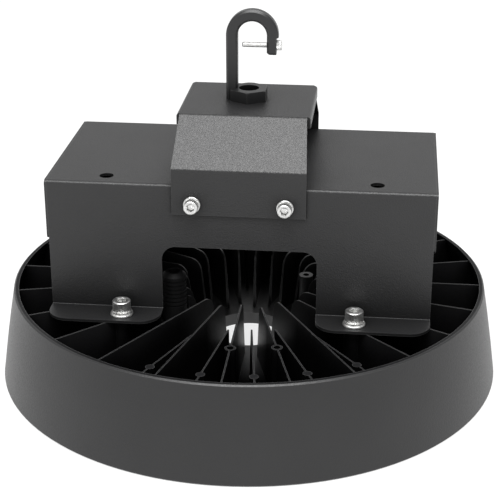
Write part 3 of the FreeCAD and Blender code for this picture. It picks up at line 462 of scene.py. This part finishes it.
# Fasteners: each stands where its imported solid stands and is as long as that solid

# Thread, head width, head height and key width of socket cap screws, in millimetres
M8 = (8.0, 13.0, 8.0, 6.0)
M6 = (6.0, 10.0, 6.0, 5.0)
M4 = (4.0, 7.0, 3.8, 3.0)
M3 = (3.0, 5.6, 2.2, 2.0)
M4_PITCH = 0.7 * MM

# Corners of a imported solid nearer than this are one
SAME_SPOT = 1e-6

# Steps round a turned piece, large and small, and the angle that counts as a sharp edge
TURN_STEPS = 72
SMALL_STEPS = 48
SHARP_ANGLE = 35.0
THREAD_SHARP_ANGLE = 60.0

# Head of a cap screw: its knurls, its edge as a share of the head's width, and as shares of the edge
# how far below the top the straight side ends and how far inwards and below the top the rounding's
# points lie
KNURL_DEPTH = 0.4 * MM
KNURL_COUNT = 36
HEAD_EDGE = 0.04
HEAD_SIDE_END = 1.5
HEAD_ROUNDING = ((0.3, 0.9), (1.0, 0.2), (1.5, 0.0))

# Shank: the tip's chamfer and the neck's fillet as shares of the thread
TIP_CHAMFER = 0.12
NECK_FILLET = 0.02

# Socket: radius of its mouth and depth of the mouth's chamfer as shares of the key, and the depths of
# the hexagon and of the drilled point as shares of the head's height
MOUTH_R = 0.64
MOUTH_CHAMFER = 0.05
SOCKET_DEPTH = 0.5
DRILL_DEPTH = 0.62

# Turn from one screw to the next, and of the first lock washer, so that no two stand alike
SCREW_TURN = 0.7
FIRST_LOCK_TURN = 1.1

# Flat washers: hole widths and edge; on the rolled side, how far inwards the middle point of the
# rounding lies, and as shares of the edge how far below the top that point and the straight side lie
WASHER_HOLES = {"foot_washers": 8.4 * MM, "saddle_washers": 6.4 * MM}
WASHER_EDGE = 0.3 * MM
WASHER_ROLL = 0.1 * MM
WASHER_ROLL_BELOW = 0.6
WASHER_SIDE_BELOW = 1.4

# Lock washers: hole radius, width of the slit, its slant as a share of that, and steps round the ring
LOCK_INNER_R = 4.1 * MM
LOCK_SLIT = math.radians(5)
LOCK_SLANT = 1.5
LOCK_STEPS = 60

# Thread: depth as a share of the pitch, and rings in each turn
THREAD_DEPTH = 0.54
THREAD_RINGS = 4

# Safety screw: chamfer and length of its tip, and the plain neck under its head
SAFETY_TIP = 0.6 * MM
SAFETY_TIP_LEN = 0.5 * MM
SAFETY_NECK = 0.4 * MM


def piece_of(node, mesh, look):
    """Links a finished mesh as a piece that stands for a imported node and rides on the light."""
    made = bpy.data.objects.new(node + "_detail", mesh)
    bpy.context.scene.collection.objects.link(made)
    mesh.materials.append(MATERIALS[look])
    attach(made, "root")
    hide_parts(node)


def round_at(radius):
    return lambda angle: radius


def hex_at(across):
    """Radius of a hexagon of the given width across flats."""
    def radius(angle):
        turn = math.fmod(angle + math.pi / 6, math.pi / 3) - math.pi / 6
        return across / 2 / math.cos(turn)
    return radius


def knurl_at(radius):
    return lambda angle: radius - KNURL_DEPTH * (0.5 + 0.5 * math.cos(angle * KNURL_COUNT))


def add_rings(bm, rings, place, steps=TURN_STEPS, closed=False):
    """Skins a stack of rings (radius function, height); a ring without a function is a point on the axis."""
    loops = []
    for radius, height in rings:
        if radius is None:
            loops.append([bm.verts.new(place @ Vector((0, 0, height)))])
            continue
        loop = []
        for step in range(steps):
            angle = 2 * math.pi * step / steps
            reach = radius(angle)
            point = Vector((reach * math.cos(angle), reach * math.sin(angle), height))
            loop.append(bm.verts.new(place @ point))
        loops.append(loop)
    pairs = list(zip(loops, loops[1:]))
    if closed:
        pairs.append((loops[-1], loops[0]))
    for low, high in pairs:
        for step in range(steps):
            ahead = (step + 1) % steps
            corners = [low[step % len(low)], low[ahead % len(low)],
                       high[ahead % len(high)], high[step % len(high)]]
            bm.faces.new(list(dict.fromkeys(corners)))


def mesh_of(node, bm, sharp=SHARP_ANGLE):
    """Finishes a mesh: outward faces, smooth shading and sharp edges above an angle."""
    bmesh.ops.recalc_face_normals(bm, faces=bm.faces)
    for face in bm.faces:
        face.smooth = True
    for edge in bm.edges:
        if len(edge.link_faces) == 2 and edge.calc_face_angle() > math.radians(sharp):
            edge.smooth = False
    mesh = bpy.data.meshes.new(node + "_detail")
    bm.to_mesh(mesh)
    bm.free()
    return mesh


def solid_boxes(name):
    """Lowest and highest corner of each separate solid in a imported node."""
    bm = bmesh.new()
    bm.from_mesh(nodes[name].data)
    bmesh.ops.remove_doubles(bm, verts=bm.verts, dist=SAME_SPOT)
    seen = set()
    found = []
    for start in bm.verts:
        if start in seen:
            continue
        group = []
        stack = [start]
        seen.add(start)
        while stack:
            vert = stack.pop()
            group.append(vert.co.copy())
            for edge in vert.link_edges:
                other = edge.other_vert(vert)
                if other not in seen:
                    seen.add(other)
                    stack.append(other)
        low = Vector(min(c[i] for c in group) for i in range(3))
        high = Vector(max(c[i] for c in group) for i in range(3))
        found.append((low, high))
    bm.free()
    return found


def main_axis(direction):
    """Number of the axis that a direction mostly follows."""
    return max(range(3), key=lambda i: abs(direction[i]))


def frame_along(origin, direction, turn=0.0):
    """Placement whose Z axis points along the direction."""
    turned = Vector(direction).to_track_quat("Z", "Y").to_matrix().to_4x4()
    return Matrix.Translation(origin) @ turned @ Matrix.Rotation(turn, 4, "Z")


def up(low, high):
    return (0, 0, 1)


def down(low, high):
    return (0, 0, -1)


def outwards_y(low, high):
    return (0, 1 if low.y + high.y > 0 else -1, 0)


def shank_rings(thread, length):
    """Plain shank along Z below the seat at 0, its tip chamfered."""
    chamfer = TIP_CHAMFER * thread
    return [
        (None, -length),
        (round_at(thread / 2 - chamfer), -length),
        (round_at(thread / 2), -length + chamfer),
        (round_at(thread / 2), -NECK_FILLET * thread),
    ]


def head_rings(thread, head, height, key, knurled=True):
    """Neck, head with a rounded top edge, and hexagon socket, along Z from the seat at 0."""
    edge = HEAD_EDGE * head
    side = knurl_at(head / 2) if knurled else round_at(head / 2)
    hole = hex_at(key)
    rounding = []
    for inwards, below in HEAD_ROUNDING:
        rounding.append((round_at(head / 2 - inwards * edge), height - below * edge))
    return [
        (round_at(thread / 2 + NECK_FILLET * thread), 0),
        (round_at(head / 2 - edge), 0),
        (side, edge),
        (side, height - HEAD_SIDE_END * edge),
        *rounding,
        (round_at(MOUTH_R * key), height),
        (hole, height - MOUTH_CHAMFER * key),
        (hole, height - SOCKET_DEPTH * height),
        (None, height - DRILL_DEPTH * height),
    ]


def screw_group(node, sizes, direction_of, knurled=True, steps=TURN_STEPS):
    """Replaces a node of cap screws by detailed ones, each at the solid that it stands for."""
    thread, head, height, key = [size * MM for size in sizes]
    bm = bmesh.new()
    for index, (low, high) in enumerate(solid_boxes(node)):
        direction = Vector(direction_of(low, high))
        axis = main_axis(direction)
        total = high[axis] - low[axis]
        seat = (low + high) / 2 + direction * (total / 2 - height)
        rings = shank_rings(thread, total - height) + head_rings(thread, head, height, key, knurled)
        add_rings(bm, rings, frame_along(seat, direction, SCREW_TURN * index), steps)
    piece_of(node, mesh_of(node, bm), "knurled_zinc" if knurled else "zinc")


def washer_rings(inner, outer, thick):
    """Section of a flat washer with a rolled outer edge and a punched inner one."""
    edge = WASHER_EDGE
    return [
        (round_at(inner), edge),
        (round_at(inner), thick - edge),
        (round_at(inner + edge), thick),
        (round_at(outer - edge), thick),
        (round_at(outer - WASHER_ROLL), thick - WASHER_ROLL_BELOW * edge),
        (round_at(outer), thick - WASHER_SIDE_BELOW * edge),
        (round_at(outer), edge),
        (round_at(outer - edge), 0),
        (round_at(inner + edge), 0),
    ]


def washer_group(node, direction_of):
    """Replaces a node of flat washers by detailed ones."""
    bm = bmesh.new()
    for low, high in solid_boxes(node):
        direction = Vector(direction_of(low, high))
        axis = main_axis(direction)
        across = (axis + 1) % 3
        outer = (high[across] - low[across]) / 2
        thick = high[axis] - low[axis]
        bottom = (low + high) / 2 - direction * thick / 2
        rings = washer_rings(WASHER_HOLES[node] / 2, outer, thick)
        add_rings(bm, rings, frame_along(bottom, direction), closed=True)
    piece_of(node, mesh_of(node, bm), "zinc")


def add_split_ring(bm, place, outer, thick):
    """Skins a square ring with a slanting slit through it."""
    corners = [(LOCK_INNER_R, 0), (outer, 0), (outer, thick), (LOCK_INNER_R, thick)]
    loops = []
    for step in range(LOCK_STEPS + 1):
        loop = []
        for radius, height in corners:
            slant = LOCK_SLIT * LOCK_SLANT * (height / thick - 0.5)
            angle = LOCK_SLIT / 2 + slant + (2 * math.pi - LOCK_SLIT) * step / LOCK_STEPS
            point = Vector((radius * math.cos(angle), radius * math.sin(angle), height))
            loop.append(bm.verts.new(place @ point))
        loops.append(loop)
    for first, second in zip(loops, loops[1:]):
        for corner in range(len(corners)):
            ahead = (corner + 1) % len(corners)
            bm.faces.new([first[corner], first[ahead], second[ahead], second[corner]])
    bm.faces.new(loops[0])
    bm.faces.new(loops[-1])


def lock_washer_group(node):
    """Replaces a node of lock washers by split ones."""
    bm = bmesh.new()
    for index, (low, high) in enumerate(solid_boxes(node)):
        bottom = Vector(((low.x + high.x) / 2, (low.y + high.y) / 2, low.z))
        place = frame_along(bottom, (0, 0, 1), FIRST_LOCK_TURN + index)
        add_split_ring(bm, place, (high.x - low.x) / 2, high.z - low.z)
    piece_of(node, mesh_of(node, bm), "zinc")


def threaded_rings(thread, pitch, low, high):
    """Rings of a helical thread between two heights."""
    count = int((high - low) / (pitch / THREAD_RINGS))
    depth = THREAD_DEPTH * pitch
    rings = []
    for index in range(count + 1):
        height = low + (high - low) * index / count

        def radius(angle, height=height):
            phase = (height / pitch - angle / (2 * math.pi)) % 1.0
            return thread / 2 - depth * abs(2 * phase - 1)
        rings.append((radius, height))
    return rings


def safety_screw(node):
    """Screw across the hook's mouth: head outside the tip, thread through the tip and over the gap."""
    thread, head, height, key = [size * MM for size in M4]
    low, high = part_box(node)
    seat = Vector((high.x - height, (low.y + high.y) / 2, (low.z + high.z) / 2))
    length = high.x - low.x - height
    tip = [(None, -length), (round_at(thread / 2 - SAFETY_TIP), -length)]
    shank = threaded_rings(thread, M4_PITCH, -length + SAFETY_TIP_LEN, -SAFETY_NECK)
    bm = bmesh.new()
    add_rings(bm, tip + shank + head_rings(thread, head, height, key), frame_along(seat, (1, 0, 0)))
    piece_of(node, mesh_of(node, bm, THREAD_SHARP_ANGLE), "zinc")


screw_group("foot_screws", M8, up)
screw_group("saddle_screws", M6, outwards_y)
screw_group("lens_screws", M4, down, False, SMALL_STEPS)
screw_group("board_screws", M3, down, False, SMALL_STEPS)
screw_group("driver_screws", M4, up, False, SMALL_STEPS)
screw_group("earth_screw", M4, up, False, SMALL_STEPS)
washer_group("foot_washers", up)
washer_group("saddle_washers", outwards_y)
lock_washer_group("foot_lock_washers")
safety_screw("hook_safety_screw")


# Floor, light and camera

def link_at(made, place, target):
    """Links a light or camera at a place, facing a target."""
    bpy.context.scene.collection.objects.link(made)
    made.location = place
    made.rotation_euler = (target - place).to_track_quat("-Z", "Y").to_euler()


def studio_floor():
    bpy.ops.mesh.primitive_plane_add(size=FLOOR_SIZE)
    floor = bpy.context.object
    floor.name = "floor"
    made = Shader("floor")
    cloud = made.noise(FLOOR_CLOUD)
    made.paint(made.colour(made.vary(cloud), (0.2, 0.2, 0.2), (0.24, 0.24, 0.24)))
    made.set(Roughness=0.8, Emission_Color=(1, 1, 1, 1), Emission_Strength=FLOOR_GLOW)
    floor.data.materials.append(made.material)


def studio_world():
    world = bpy.data.worlds.new("studio")
    bpy.context.scene.world = world
    world.use_nodes = True
    background = world.node_tree.nodes["Background"]
    background.inputs["Color"].default_value = (1, 1, 1, 1)
    background.inputs["Strength"].default_value = WORLD_STRENGTH


def key_light():
    data = bpy.data.lights.new("key", "AREA")
    data.shape = "RECTANGLE"
    data.size, data.size_y = KEY_SIZE
    data.energy = KEY_POWER
    link_at(bpy.data.objects.new("key", data), KEY_PLACE, KEY_TARGET)


def photo_camera():
    data = bpy.data.cameras.new("camera")
    data.sensor_fit = "HORIZONTAL"
    data.sensor_width = SENSOR
    data.lens = LENS
    data.clip_start = CLIP_NEAR
    data.clip_end = CLIP_FAR
    made = bpy.data.objects.new("camera", data)
    link_at(made, CAMERA_PLACE, CAMERA_TARGET)
    bpy.context.scene.camera = made


studio_floor()
studio_world()
key_light()
photo_camera()
bpy.context.scene.view_settings.view_transform = "Standard"
